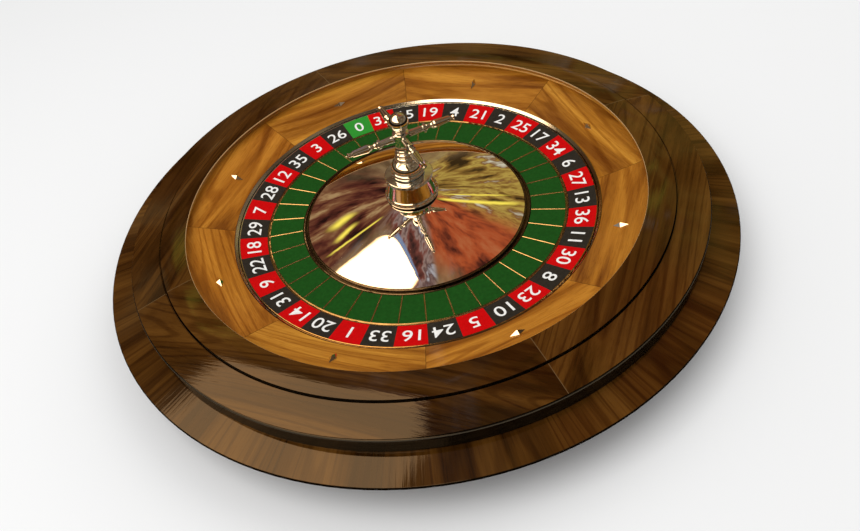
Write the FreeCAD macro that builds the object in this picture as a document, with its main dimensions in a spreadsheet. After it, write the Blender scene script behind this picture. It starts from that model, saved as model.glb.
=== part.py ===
import FreeCAD, Part

import math
import os
import re

import Sketcher

# Full-size single-zero roulette wheel, modelled as the loose pieces it is built from.
#
# The wheel stands on its felt ring.  The origin is the centre of that ring's underside, +Z is the
# axis of the spindle, and every length is in millimetres.  Heights are measured from the table.
# The rotor (wheel head, numbers, pockets, cone and turret) turns on two ball bearings about the
# fixed spindle; everything else is the bowl.

Vector = FreeCAD.Vector
UP = Vector(0, 0, 1)

# ---------------------------------------------------------------------------------------------
# Driving dimensions
# ---------------------------------------------------------------------------------------------
DIMENSIONS = [
    # base
    ("felt_inner_radius", 280), ("felt_outer_radius", 318), ("felt_thickness", 3),
    ("board_radius", 325), ("board_top", 18), ("board_bore_radius", 10),
    ("base_screw_circle", 288), ("base_screw_radius", 2.5), ("base_screw_depth", 30),
    ("base_screw_head_radius", 5), ("base_screw_head_height", 3), ("base_screw_count", 8),
    ("felt_hole_radius", 6),
    # bowl wall
    ("well_radius", 246), ("wall_foot_radius", 330), ("wall_foot_height", 24),
    ("wall_top", 81.4), ("wall_shoulder_radius", 388), ("wall_shoulder_drop", 5),
    ("wall_ogee_radius", 62),
    # flange: the low outer tier
    ("flange_bottom", 56), ("flange_seat_radius", 352), ("flange_step_radius", 369.7),
    ("flange_inner_top", 68.5), ("flange_outer_radius", 405.2), ("flange_outer_top", 61.8),
    ("flange_outer_bottom", 57.4), ("flange_nose_radius", 2.9), ("flange_under_radius", 402),
    # riser: the black band between the flange and the rim
    ("riser_radius", 368.6), ("riser_top", 84),
    # rim: the two upper tiers, turned on one ring of four quarters
    ("rim_lip_radius", 294.9), ("rim_lip_bottom", 103), ("rim_lip_nose", 1.3),
    ("rim_lip_top", 105.3), ("rim_upper_radius", 328.8), ("rim_upper_edge", 101.6),
    ("rim_groove_bottom", 98.2), ("rim_groove_outside", 331.4),
    ("rim_middle_top", 99.5), ("rim_middle_radius", 368.9), ("rim_middle_edge", 92.1),
    ("rim_quirk", 1.2), ("rim_bead_radius", 2.4), ("rim_bead_height", 4.4),
    ("rim_count", 4),
    # ball track
    ("track_radius", 300.6), ("track_back_radius", 312), ("track_cove_radius", 5.2),
    ("track_top_radius", 298.8),
    # apron: eight mitred segments, and the ring that lines their inner edge
    ("apron_inner_radius", 241.4), ("apron_inner_height", 74.2), ("apron_outer_height", 93.4),
    ("apron_thickness", 12), ("apron_count", 8),
    ("well_ring_radius", 237.4), ("well_ring_bottom", 56), ("well_ring_low", 71),
    ("well_ring_high", 73.9), ("well_ring_crest", 240.3),
    # deflectors
    ("deflector_circle", 268), ("deflector_length", 19), ("deflector_width", 8.4),
    ("deflector_plinth", 0.9), ("deflector_rise", 4.8), ("deflector_crest", 0.07),
    ("deflector_bed", 0.07), ("deflector_pin_radius", 1.5),
    ("deflector_pin_spacing", 9), ("deflector_pin_length", 8),
    # spindle
    ("spindle_radius", 10), ("spindle_flange_radius", 50), ("spindle_flange_top", 26),
    ("spindle_shoulder_radius", 12.5), ("spindle_top", 103.5), ("spindle_chamfer", 1.2),
    ("spindle_bolt_circle", 38), ("spindle_bolt_radius", 3), ("spindle_bolt_count", 4),
    ("spindle_bolt_bottom", 8), ("spindle_bolt_head", 4), ("spindle_bolt_head_radius", 4.6),
    ("washer_radius", 13), ("washer_thickness", 2), ("nut_height", 8), ("nut_radius", 17.3),
    # bearings
    ("race_bore_radius", 10), ("race_inner_radius", 13.5), ("race_outer_bore", 16.5),
    ("race_outer_radius", 20), ("race_width", 12), ("race_edge", 0.6),
    ("ball_circle", 15), ("ball_radius", 3), ("ball_groove_radius", 3.3), ("ball_count", 10),
    ("cage_inner_radius", 13.8), ("cage_outer_radius", 16.2), ("cage_height", 8),
    ("cage_pocket_radius", 3.12), ("lower_bearing_bottom", 30), ("upper_bearing_bottom", 79),
    # rotor hub
    ("hub_radius", 28), ("hub_bore_radius", 17), ("hub_flange_radius", 60),
    ("hub_flange_thickness", 5), ("hub_shoulder_height", 93.3), ("hub_spigot_radius", 23),
    ("hub_spigot_top", 105), ("hub_bolt_circle", 48), ("hub_bolt_count", 6),
    ("hub_bolt_bottom", 48), ("hub_bolt_head", 4),
    # rotor disc and what lies on it
    ("disc_bottom", 40), ("disc_top", 60.5), ("disc_radius", 236.4), ("disc_chamfer", 7),
    ("number_outer_radius", 234.7), ("number_inner_radius", 199.8), ("number_outer_height", 70),
    ("number_inner_height", 64.7), ("panel_thickness", 1), ("cell_count", 37),
    ("outer_trim_top", 70.2), ("outer_trim_round", 0.9),
    ("pocket_outer_radius", 195.6), ("pocket_inner_radius", 151.8), ("pocket_height", 64.2),
    ("fret_radius", 0.9), ("fret_end_gap", 0.4),
    ("middle_trim_shoulder", 64), ("middle_trim_round", 2.6),
    ("inner_trim_radius", 143.4), ("inner_trim_wire_height", 64.3), ("inner_trim_wire", 1.5),
    ("inner_trim_wire_inside", 149.2), ("inner_trim_groove", 62.6),
    ("inner_trim_bead_height", 66.2), ("inner_trim_bead", 1.7), ("inner_trim_bead_outside", 146.6),
    # cone
    ("cone_edge_height", 67), ("cone_seat_radius", 33), ("cone_seat_height", 95.3),
    ("cone_crown_radius", 1400), ("cone_thickness", 2), ("cone_hem_drop", 1.6),
    # turret
    ("base_bead_radius", 6.5), ("base_bead_inside", 33.6), ("base_bead_top", 103),
    ("flare_foot_radius", 32.7), ("flare_foot_height", 104), ("flare_neck_radius", 26.6),
    ("flare_neck_height", 122), ("flare_curve", 400), ("shoulder_foot_radius", 29.4),
    ("shoulder_foot_height", 124.4), ("shoulder_radius", 31), ("shoulder_wall_bottom", 125.2),
    ("shoulder_wall_top", 128.3), ("shoulder_top_radius", 29.8), ("shoulder_top_height", 129.5),
    ("shoulder_round", 1.3), ("base_neck_radius", 19.4), ("base_neck_foot", 130.1),
    ("base_web_bottom", 107.5),
    ("dome_bottom", 130.6), ("dome_skirt_inside", 20.4), ("dome_skirt_top", 136.4),
    ("dome_skirt_round", 4.6), ("dome_top", 152.6), ("dome_top_radius", 11.6),
    ("dome_curve", 14.2),
    ("bead_one_top", 158.4), ("bead_round", 3.4), ("small_bead_round", 2.9),
    ("groove_one", 159), ("groove_radius", 10.6), ("upper_groove_radius", 9.6),
    ("bead_two_top", 164.2), ("groove_two", 164.8),
    ("bead_three_top", 169.4), ("neck_top", 174.6), ("neck_radius", 8.6), ("neck_cove", 7),
    ("arm_hub_foot_height", 176.2), ("arm_hub_height", 191.4), ("arm_hub_radius", 10.6),
    ("arm_hub_cap_height", 192.8), ("arm_hub_cap_radius", 9.6), ("arm_hub_round", 1.5),
    ("arm_hub_top", 193.8), ("arm_hub_top_radius", 7.4),
    ("draw_bolt_radius", 4), ("draw_bolt_bottom", 119),
    ("finial_collar_top", 196.4), ("finial_collar_round", 1.7), ("finial_neck_radius", 6.4),
    ("finial_ball_radius", 12.2), ("finial_ball_height", 207.3),
    # turret arms
    ("arm_count", 4), ("arm_height", 186), ("arm_shank_start", 6.5), ("arm_shank_radius", 2.8),
    ("arm_start", 10.65), ("arm_root_radius", 4.4), ("arm_rod_radius", 3.9),
    ("arm_collar_start", 28.6), ("arm_collar_radius", 6.2), ("arm_collar_width", 3),
    ("arm_bead_start", 33.6), ("arm_bead_end", 42), ("arm_bead_round", 4.8),
    ("arm_bead_shoulder", 5.2), ("arm_taper_start", 44.6), ("arm_taper_radius", 5.4),
    ("arm_taper_end", 64.5), ("arm_taper_tip", 3.9), ("arm_tip_neck", 2.6),
    ("arm_ball_radius", 3.9), ("arm_ball_centre", 70),
    # how the rotor stands at rest: the zero is this far round from +Y
    ("rotor_rest_angle", -2.26),
]

doc = FreeCAD.newDocument("RouletteWheel")
sheet = doc.addObject("Spreadsheet::Sheet", "Sheet")
sheet.Label = "Sheet"
for row, (alias, size) in enumerate(DIMENSIONS, start=1):
    sheet.set(f"A{row}", alias)
    sheet.set(f"B{row}", str(size))
    sheet.setAlias(f"B{row}", alias)
doc.recompute()

ALIASES = {alias for alias, size in DIMENSIONS}
SUB_PARTS = []


def amount(formula):
    """Number that a formula of the sheet stands for."""
    return float(sheet.evalExpression(formula))


def bound(formula):
    """The same formula as other objects write it, with each alias traced to the sheet."""
    return re.sub("[a-z_]+", lambda word: f"Sheet.{word[0]}" if word[0] in ALIASES else word[0],
                  formula)


# ---------------------------------------------------------------------------------------------
# Modelling helpers
# ---------------------------------------------------------------------------------------------
def new_body(name, turn=0.0):
    """An empty body for one sub-part, turned about the spindle axis."""
    body = doc.addObject("PartDesign::Body", name)
    body.Label = name
    body.AllowCompound = True
    body.Placement = FreeCAD.Placement(Vector(0, 0, 0), FreeCAD.Rotation(UP, turn))
    SUB_PARTS.append(body)
    return body


def rotor_body(name):
    """A body that turns with the rotor, so it stands at the rotor's angle."""
    return new_body(name, amount("rotor_rest_angle"))


def plane_of(body, role):
    """One of the body's own origin planes."""
    return next(item for item in body.Origin.OriginFeatures if item.Role == role)


def new_sketch(body, role, **offset):
    """A sketch on one of the body's own origin planes, moved along its own x, y or z."""
    sketch = body.newObject("Sketcher::SketchObject", body.Name + "_sketch")
    sketch.AttachmentSupport = [(plane_of(body, role), "")]
    sketch.MapMode = "FlatFace"
    for direction, formula in offset.items():
        sketch.setExpression(f"AttachmentOffset.Base.{direction}", bound(formula))
    return sketch


def arc_middle(start, end, radius, side):
    """Middle point of the short arc from start to end; side 1 bows left of travel, -1 right."""
    chord = end - start
    left = Vector(-chord.y, chord.x, 0).normalize()
    rise = radius - math.sqrt(radius ** 2 - (chord.Length / 2) ** 2)
    return (start + end) * 0.5 + left * (rise * side)


def place_point(sketch, geometry, end, formula, axis):
    """Hold one end of an edge at a distance from the sketch origin, bound to the sheet."""
    if formula == "0":
        line = -2 if axis == "DistanceX" else -1
        sketch.addConstraint(Sketcher.Constraint("PointOnObject", geometry, end, line))
        return
    rule = Sketcher.Constraint(axis, -1, 1, geometry, end, amount(formula))
    index = sketch.addConstraint(rule)
    sketch.setExpression(f"Constraints[{index}]", bound(formula))


def draw_outline(sketch, corners):
    """Closed outline of the sketch.

    Each corner is (across, up) or (across, up, radius, side), all formulas of the sheet but
    side; the longer form starts an arc that runs to the next corner.
    """
    points = [Vector(amount(corner[0]), amount(corner[1]), 0) for corner in corners]
    edges = []
    for corner, start, end in zip(corners, points, points[1:] + points[:1]):
        if len(corner) == 2:
            edges.append(Part.LineSegment(start, end))
        else:
            edges.append(Part.Arc(start, arc_middle(start, end, amount(corner[2]), corner[3]), end))
    sketch.addGeometry(edges)
    starts = []
    for index, start in enumerate(points):
        first_is_start = (sketch.getPoint(index, 1) - start).Length < 1e-6
        starts.append(1 if first_is_start else 2)
    for index, start_end in enumerate(starts):
        following = (index + 1) % len(points)
        joined = Sketcher.Constraint(
            "Coincident", index, 3 - start_end, following, starts[following])
        sketch.addConstraint(joined)
    for index, (corner, start_end) in enumerate(zip(corners, starts)):
        place_point(sketch, index, start_end, corner[0], "DistanceX")
        place_point(sketch, index, start_end, corner[1], "DistanceY")
        if len(corner) == 4:
            rule = Sketcher.Constraint("Radius", index, amount(corner[2]))
            radius_index = sketch.addConstraint(rule)
            sketch.setExpression(f"Constraints[{radius_index}]", bound(corner[2]))


def draw_circle(sketch, across, up, radius):
    """Circle of the sketch, its centre and radius bound to the sheet."""
    centre = Vector(amount(across), amount(up), 0)
    index = sketch.addGeometry(Part.Circle(centre, UP, amount(radius)))
    place_point(sketch, index, 3, across, "DistanceX")
    place_point(sketch, index, 3, up, "DistanceY")
    rule = sketch.addConstraint(Sketcher.Constraint("Radius", index, amount(radius)))
    sketch.setExpression(f"Constraints[{rule}]", bound(radius))


def turn_profile(body, corners, sweep=None, axis="V_Axis"):
    """Turn an outline of the XZ plane about an axis of its sketch, all round or part way."""
    sketch = new_sketch(body, "XZ_Plane")
    draw_outline(sketch, corners)
    turned = body.newObject("PartDesign::Revolution", body.Name + "_turned")
    turned.Profile = sketch
    turned.ReferenceAxis = (sketch, [axis])
    turned.Angle = 360
    if sweep is not None:
        turned.Midplane = True
        turned.setExpression("Angle", sweep)
    return turned


def turn_pin(body, circle, corners):
    """Turned pin, screw or bolt that stands upright on a circle about the spindle axis."""
    sketch = new_sketch(body, "XZ_Plane", x=circle)
    draw_outline(sketch, corners)
    turned = body.newObject("PartDesign::Revolution", body.Name + "_turned")
    turned.Profile = sketch
    turned.ReferenceAxis = (sketch, ["V_Axis"])
    turned.Angle = 360
    return turned


def repeat(body, feature, count, step=None):
    """Repeat a feature about the spindle axis; step is the angle between copies."""
    pattern = body.newObject("PartDesign::PolarPattern", body.Name + "_pattern")
    pattern.Originals = [feature]
    pattern.Axis = (plane_of(body, "Z_Axis"), [""])
    if step is None:
        pattern.Angle = 360
    else:
        pattern.Mode = "Spacing"
        pattern.setExpression("Offset", step)
    pattern.setExpression("Occurrences", count)
    body.Tip = pattern
    return pattern


def drill(body, across, up, radius, low, high, count=None):
    """Round hole through the body from height low to height high, repeated about the axis."""
    sketch = new_sketch(body, "XY_Plane", z=low)
    draw_circle(sketch, across, up, radius)
    hole = body.newObject("PartDesign::Pocket", body.Name + "_hole")
    hole.Profile = sketch
    hole.Reversed = True
    hole.setExpression("Length", bound(f"{high} - {low}"))
    if count is not None:
        repeat(body, hole, bound(count))
    return hole


# ---------------------------------------------------------------------------------------------
# Bowl
# ---------------------------------------------------------------------------------------------
def make_base_felt():
    body = new_body("base_felt")
    turn_profile(body, [
        ("felt_inner_radius", "0"),
        ("felt_outer_radius", "0"),
        ("felt_outer_radius", "felt_thickness"),
        ("felt_inner_radius", "felt_thickness"),
    ])
    drill(body, "base_screw_circle", "0", "felt_hole_radius", "0", "felt_thickness",
          "base_screw_count")


def make_base_board():
    body = new_body("base_board")
    turn_profile(body, [
        ("board_bore_radius", "felt_thickness"),
        ("board_radius", "felt_thickness"),
        ("board_radius", "board_top"),
        ("board_bore_radius", "board_top"),
    ])
    drill(body, "base_screw_circle", "0", "base_screw_radius", "felt_thickness", "board_top",
          "base_screw_count")
    drill(body, "base_screw_circle", "0", "base_screw_head_radius", "felt_thickness",
          "felt_thickness + base_screw_head_height", "base_screw_count")
    drill(body, "spindle_bolt_circle", "0", "spindle_bolt_radius", "spindle_bolt_bottom",
          "board_top", "spindle_bolt_count")


def make_base_screws():
    body = new_body("base_screws")
    head_top = "felt_thickness + base_screw_head_height"
    screw = turn_pin(body, "base_screw_circle", [
        ("0", "felt_thickness"),
        ("base_screw_head_radius", "felt_thickness"),
        ("base_screw_head_radius", head_top),
        ("base_screw_radius", head_top),
        ("base_screw_radius", "base_screw_depth"),
        ("0", "base_screw_depth + base_screw_radius"),
    ])
    repeat(body, screw, bound("base_screw_count"))


def make_bowl_wall():
    body = new_body("bowl_wall")
    apron_slope = ("(apron_outer_height - apron_inner_height)"
                   " / (track_radius - apron_inner_radius)")
    turn_profile(body, [
        ("well_radius", "board_top"),
        ("wall_foot_radius", "board_top"),
        ("wall_foot_radius", "wall_foot_height", "wall_ogee_radius", -1),
        ("wall_shoulder_radius", "flange_bottom - wall_shoulder_drop"),
        ("wall_shoulder_radius", "flange_bottom"),
        ("flange_seat_radius", "flange_bottom"),
        ("flange_seat_radius", "wall_top"),
        ("track_radius", "wall_top"),
        ("well_radius", "wall_top - (track_radius - well_radius) * " + apron_slope),
    ])
    drill(body, "base_screw_circle", "0", "base_screw_radius", "board_top",
          "base_screw_depth + base_screw_radius", "base_screw_count")


def make_flange_ring():
    body = new_body("flange_ring")
    turn_profile(body, [
        ("flange_seat_radius", "flange_bottom"),
        ("flange_under_radius", "flange_bottom"),
        ("flange_outer_radius", "flange_outer_bottom", "flange_nose_radius", -1),
        ("flange_outer_radius", "flange_outer_top"),
        ("flange_step_radius", "flange_inner_top"),
        ("flange_seat_radius", "flange_inner_top"),
    ])


def make_rim_riser():
    body = new_body("rim_riser")
    turn_profile(body, [
        ("flange_seat_radius", "flange_inner_top"),
        ("riser_radius", "flange_inner_top"),
        ("riser_radius", "riser_top"),
        ("flange_seat_radius", "riser_top"),
    ])


def make_rim_segment(number):
    """A quarter of the rim ring, with the lip over the ball track and both upper tiers."""
    quarter = 360 / amount("rim_count")
    body = new_body(f"rim_segment_{number}", (number - 0.5) * quarter)
    bead_foot = "rim_middle_edge - rim_quirk - rim_bead_height"
    turn_profile(body, [
        ("rim_lip_radius + rim_lip_nose", "rim_lip_bottom", "rim_lip_nose", 1),
        ("rim_lip_radius + rim_lip_nose", "rim_lip_top"),
        ("rim_upper_radius", "rim_upper_edge"),
        ("rim_upper_radius", "rim_groove_bottom"),
        ("rim_groove_outside", "rim_groove_bottom"),
        ("rim_groove_outside", "rim_middle_top"),
        ("rim_middle_radius", "rim_middle_edge"),
        ("rim_middle_radius", "rim_middle_edge - rim_quirk", "rim_bead_radius", 1),
        ("rim_middle_radius", bead_foot),
        ("riser_radius", "riser_top"),
        ("flange_seat_radius", "riser_top"),
        ("flange_seat_radius", "wall_top"),
        ("track_back_radius", "wall_top"),
        ("track_back_radius", "rim_lip_bottom"),
    ], bound("360 / rim_count"))


def make_ball_track():
    body = new_body("ball_track")
    turn_profile(body, [
        ("track_radius", "apron_outer_height", "track_cove_radius", -1),
        ("track_top_radius", "rim_lip_bottom"),
        ("track_back_radius", "rim_lip_bottom"),
        ("track_back_radius", "wall_top"),
        ("track_radius", "wall_top"),
    ])


def apron_tilt():
    """Angle at which the apron rises away from the spindle."""
    rise = amount("apron_outer_height - apron_inner_height")
    return math.degrees(math.atan2(rise, amount("track_radius - apron_inner_radius")))


def apron_seat(along_rim):
    """Place on the apron's slope at the middle of a deflector; its +Z stands off the slope."""
    share = amount("(deflector_circle - apron_inner_radius) / (track_radius - apron_inner_radius)")
    height = amount("apron_inner_height") + share * amount("apron_outer_height - apron_inner_height")
    tilt = FreeCAD.Rotation(Vector(0, 1, 0), -apron_tilt())
    turn = FreeCAD.Rotation(UP, 90 if along_rim else 0)
    return FreeCAD.Placement(Vector(amount("deflector_circle"), 0, height), tilt * turn)


def make_apron_segment(number):
    """An eighth of the apron; odd ones carry a deflector along the rim, even ones across it."""
    eighth = 360 / amount("apron_count")
    body = new_body(f"apron_segment_{number}", (number - 1) * eighth)
    turn_profile(body, [
        ("apron_inner_radius", "apron_inner_height - apron_thickness"),
        ("track_radius", "apron_outer_height - apron_thickness"),
        ("track_radius", "apron_outer_height"),
        ("apron_inner_radius", "apron_inner_height"),
    ], bound("360 / apron_count"))
    sketch = new_sketch(body, "XY_Plane")
    sketch.AttachmentOffset = apron_seat(number % 2 == 1)
    draw_circle(sketch, "deflector_pin_spacing / 2", "0", "deflector_pin_radius")
    draw_circle(sketch, "-deflector_pin_spacing / 2", "0", "deflector_pin_radius")
    holes = body.newObject("PartDesign::Pocket", body.Name + "_pin_holes")
    holes.Profile = sketch
    holes.setExpression("Length", bound("deflector_pin_length"))


def draw_diamond(sketch, share):
    """Diamond of the deflector's length and width, drawn at a share of its full size."""
    long_half = f"deflector_length / 2 * {share}"
    short_half = f"deflector_width / 2 * {share}"
    draw_outline(sketch, [
        (long_half, "0"), ("0", short_half), ("-" + long_half, "0"), ("0", "-" + short_half)])


def make_deflector(name, number, along_rim):
    """Faceted diamond held by two pins in the segment; it stands on a thin bed of glue."""
    eighth = 360 / amount("apron_count")
    body = new_body(name)
    turn = FreeCAD.Placement(Vector(0, 0, 0), FreeCAD.Rotation(UP, (number - 1) * eighth))
    bed = FreeCAD.Placement(UP * amount("deflector_bed"), FreeCAD.Rotation())
    body.Placement = turn * apron_seat(along_rim) * bed
    plinth_sketch = new_sketch(body, "XY_Plane")
    draw_diamond(plinth_sketch, "1")
    plinth = body.newObject("PartDesign::Pad", name + "_plinth")
    plinth.Profile = plinth_sketch
    plinth.setExpression("Length", bound("deflector_plinth"))
    low = new_sketch(body, "XY_Plane", z="deflector_plinth")
    draw_diamond(low, "1")
    top = new_sketch(body, "XY_Plane", z="deflector_rise")
    draw_diamond(top, "deflector_crest")
    facets = body.newObject("PartDesign::AdditiveLoft", name + "_facets")
    facets.Profile = low
    facets.Sections = [top]
    facets.Ruled = True
    pin_sketch = new_sketch(body, "XY_Plane")
    draw_circle(pin_sketch, "deflector_pin_spacing / 2", "0", "deflector_pin_radius")
    draw_circle(pin_sketch, "-deflector_pin_spacing / 2", "0", "deflector_pin_radius")
    pins = body.newObject("PartDesign::Pad", name + "_pins")
    pins.Profile = pin_sketch
    pins.Reversed = True
    pins.setExpression("Length", bound("deflector_pin_length"))


def make_well_ring():
    """Bright ring that lines the apron's inner edge, bevelled down towards the numbers."""
    body = new_body("well_ring")
    turn_profile(body, [
        ("well_ring_radius", "well_ring_bottom"),
        ("well_radius", "well_ring_bottom"),
        ("well_radius", "apron_inner_height - apron_thickness"),
        ("apron_inner_radius", "apron_inner_height - apron_thickness"),
        ("apron_inner_radius", "well_ring_high"),
        ("well_ring_crest", "well_ring_high"),
        ("well_ring_radius", "well_ring_low"),
    ])


# ---------------------------------------------------------------------------------------------
# Spindle and bearings
# ---------------------------------------------------------------------------------------------
def make_spindle():
    body = new_body("spindle")
    turn_profile(body, [
        ("0", "board_top"),
        ("spindle_flange_radius", "board_top"),
        ("spindle_flange_radius", "spindle_flange_top"),
        ("spindle_shoulder_radius", "spindle_flange_top"),
        ("spindle_shoulder_radius", "lower_bearing_bottom"),
        ("spindle_radius", "lower_bearing_bottom"),
        ("spindle_radius", "spindle_top - spindle_chamfer"),
        ("spindle_radius - spindle_chamfer", "spindle_top"),
        ("0", "spindle_top"),
    ])
    drill(body, "spindle_bolt_circle", "0", "spindle_bolt_radius", "board_top",
          "spindle_flange_top", "spindle_bolt_count")


def draw_hexagon(sketch, across, up, radius):
    """Regular hexagon whose corners lie on a circle of the given radius."""
    corners = []
    for corner in range(6):
        angle = f"{60 * corner} deg"
        corners.append((f"{across} + {radius} * cos({angle})", f"{up} + {radius} * sin({angle})"))
    draw_outline(sketch, corners)


def make_bolts(body, circle, shank, bottom, seat, head_height, head_radius, count):
    """Hexagon-headed bolts on a circle, heads up, their shanks running down into the work."""
    bolt = turn_pin(body, circle, [
        ("0", bottom), (shank, bottom), (shank, seat), ("0", seat)])
    sketch = new_sketch(body, "XY_Plane", z=seat)
    draw_hexagon(sketch, circle, "0", head_radius)
    head = body.newObject("PartDesign::Pad", body.Name + "_head")
    head.Profile = sketch
    head.setExpression("Length", bound(head_height))
    pattern = repeat(body, head, bound(count))
    pattern.Originals = [bolt, head]


def make_spindle_bolts():
    make_bolts(new_body("spindle_bolts"), "spindle_bolt_circle", "spindle_bolt_radius",
               "spindle_bolt_bottom", "spindle_flange_top", "spindle_bolt_head",
               "spindle_bolt_head_radius", "spindle_bolt_count")


def make_ring(name, inner, outer, bottom, top):
    """Plain ring of rectangular section."""
    body = new_body(name)
    turn_profile(body, [(inner, bottom), (outer, bottom), (outer, top), (inner, top)])


def make_spindle_nut():
    body = new_body("spindle_nut")
    washer_top = "upper_bearing_bottom + race_width + washer_thickness"
    sketch = new_sketch(body, "XY_Plane", z=washer_top)
    draw_hexagon(sketch, "0", "0", "nut_radius")
    draw_circle(sketch, "0", "0", "spindle_radius")
    nut = body.newObject("PartDesign::Pad", "spindle_nut_pad")
    nut.Profile = sketch
    nut.setExpression("Length", bound("nut_height"))


# Half the height of each race's groove where it meets the race's cylindrical face.
GROOVE_HALF_INNER = "sqrt(ball_groove_radius ^ 2 - (ball_circle - race_inner_radius) ^ 2)"
GROOVE_HALF_OUTER = "sqrt(ball_groove_radius ^ 2 - (race_outer_bore - ball_circle) ^ 2)"


def make_inner_race(name, bottom):
    body = new_body(name)
    groove_low = f"{bottom} + race_width / 2 - {GROOVE_HALF_INNER}"
    groove_high = f"{bottom} + race_width / 2 + {GROOVE_HALF_INNER}"
    turn_profile(body, [
        ("race_bore_radius", bottom),
        ("race_inner_radius", bottom),
        ("race_inner_radius", groove_low, "ball_groove_radius", 1),
        ("race_inner_radius", groove_high),
        ("race_inner_radius", f"{bottom} + race_width"),
        ("race_bore_radius", f"{bottom} + race_width"),
    ])


def make_outer_race(name, bottom):
    body = rotor_body(name)
    groove_low = f"{bottom} + race_width / 2 - {GROOVE_HALF_OUTER}"
    groove_high = f"{bottom} + race_width / 2 + {GROOVE_HALF_OUTER}"
    turn_profile(body, [
        ("race_outer_bore", bottom),
        ("race_outer_radius", bottom),
        ("race_outer_radius", f"{bottom} + race_width"),
        ("race_outer_bore", f"{bottom} + race_width"),
        ("race_outer_bore", groove_high, "ball_groove_radius", 1),
        ("race_outer_bore", groove_low),
    ])


def make_balls(name, bottom):
    """Ring of bearing balls."""
    body = new_body(name)
    middle = f"{bottom} + race_width / 2"
    ball = turn_pin(body, "ball_circle", [
        ("0", f"{middle} - ball_radius", "ball_radius", -1),
        ("ball_radius", middle, "ball_radius", -1),
        ("0", f"{middle} + ball_radius"),
    ])
    repeat(body, ball, bound("ball_count"))


def make_cage(name, bottom):
    """Ring with a round window for every ball."""
    body = new_body(name)
    middle = f"{bottom} + race_width / 2"
    turn_profile(body, [
        ("cage_inner_radius", f"{middle} - cage_height / 2"),
        ("cage_outer_radius", f"{middle} - cage_height / 2"),
        ("cage_outer_radius", f"{middle} + cage_height / 2"),
        ("cage_inner_radius", f"{middle} + cage_height / 2"),
    ])
    sketch = new_sketch(body, "YZ_Plane")
    draw_circle(sketch, "0", middle, "cage_pocket_radius")
    window = body.newObject("PartDesign::Pocket", name + "_window")
    window.Profile = sketch
    window.Reversed = True
    window.setExpression("Length", bound("race_outer_radius"))
    repeat(body, window, bound("ball_count"))


# ---------------------------------------------------------------------------------------------
# Rotor
# ---------------------------------------------------------------------------------------------
def make_rotor_hub():
    """Bearing housing: flange under the cone, and a spigot that the turret screws on to."""
    body = rotor_body("rotor_hub")
    turn_profile(body, [
        ("race_outer_radius", "lower_bearing_bottom"),
        ("hub_radius", "lower_bearing_bottom"),
        ("hub_radius", "disc_top"),
        ("hub_flange_radius", "disc_top"),
        ("hub_flange_radius", "disc_top + hub_flange_thickness"),
        ("hub_radius", "disc_top + hub_flange_thickness"),
        ("hub_radius", "hub_shoulder_height"),
        ("hub_spigot_radius", "hub_shoulder_height"),
        ("hub_spigot_radius", "hub_spigot_top"),
        ("race_outer_radius", "hub_spigot_top"),
        ("race_outer_radius", "upper_bearing_bottom"),
        ("hub_bore_radius", "upper_bearing_bottom"),
        ("hub_bore_radius", "lower_bearing_bottom + race_width"),
        ("race_outer_radius", "lower_bearing_bottom + race_width"),
    ])
    drill(body, "hub_bolt_circle", "0", "spindle_bolt_radius", "disc_top",
          "disc_top + hub_flange_thickness", "hub_bolt_count")


def make_hub_bolts():
    make_bolts(rotor_body("hub_bolts"), "hub_bolt_circle", "spindle_bolt_radius",
               "hub_bolt_bottom", "disc_top + hub_flange_thickness", "hub_bolt_head",
               "spindle_bolt_head_radius", "hub_bolt_count")


def make_rotor_disc():
    body = rotor_body("rotor_disc")
    turn_profile(body, [
        ("hub_radius", "disc_bottom"),
        ("disc_radius - disc_chamfer", "disc_bottom"),
        ("disc_radius", "disc_bottom + disc_chamfer"),
        ("disc_radius", "disc_top"),
        ("hub_radius", "disc_top"),
    ])
    drill(body, "hub_bolt_circle", "0", "spindle_bolt_radius", "hub_bolt_bottom", "disc_top",
          "hub_bolt_count")


def make_number_ring():
    """Ring that carries the number panels; its top falls towards the pockets."""
    body = rotor_body("number_ring")
    turn_profile(body, [
        ("number_inner_radius", "disc_top"),
        ("number_outer_radius", "disc_top"),
        ("number_outer_radius", "number_outer_height - panel_thickness"),
        ("number_inner_radius", "number_inner_height - panel_thickness"),
    ])


def make_panels(name, first_cell, count=None):
    """Number panels, every second cell from first_cell on; cell 0 is the zero, at +Y."""
    body = rotor_body(name)
    cell = 360 / amount("cell_count")
    start = FreeCAD.Placement(Vector(0, 0, 0), FreeCAD.Rotation(UP, 90 - first_cell * cell))
    body.Placement = body.Placement * start
    panel = turn_profile(body, [
        ("number_inner_radius", "number_inner_height - panel_thickness"),
        ("number_outer_radius", "number_outer_height - panel_thickness"),
        ("number_outer_radius", "number_outer_height"),
        ("number_inner_radius", "number_inner_height"),
    ], bound("360 / cell_count"))
    if count is not None:
        pattern = repeat(body, panel, bound(count), bound("720 / cell_count"))
        pattern.Reversed = True


def make_outer_trim_ring():
    body = rotor_body("outer_trim_ring")
    turn_profile(body, [
        ("number_outer_radius", "disc_top"),
        ("disc_radius", "disc_top"),
        ("disc_radius", "outer_trim_top", "outer_trim_round", 1),
        ("number_outer_radius", "outer_trim_top"),
    ])


def make_pocket_ring():
    body = rotor_body("pocket_ring")
    turn_profile(body, [
        ("pocket_inner_radius", "disc_top"),
        ("pocket_outer_radius", "disc_top"),
        ("pocket_outer_radius", "pocket_height"),
        ("pocket_inner_radius", "pocket_height"),
    ])


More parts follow.
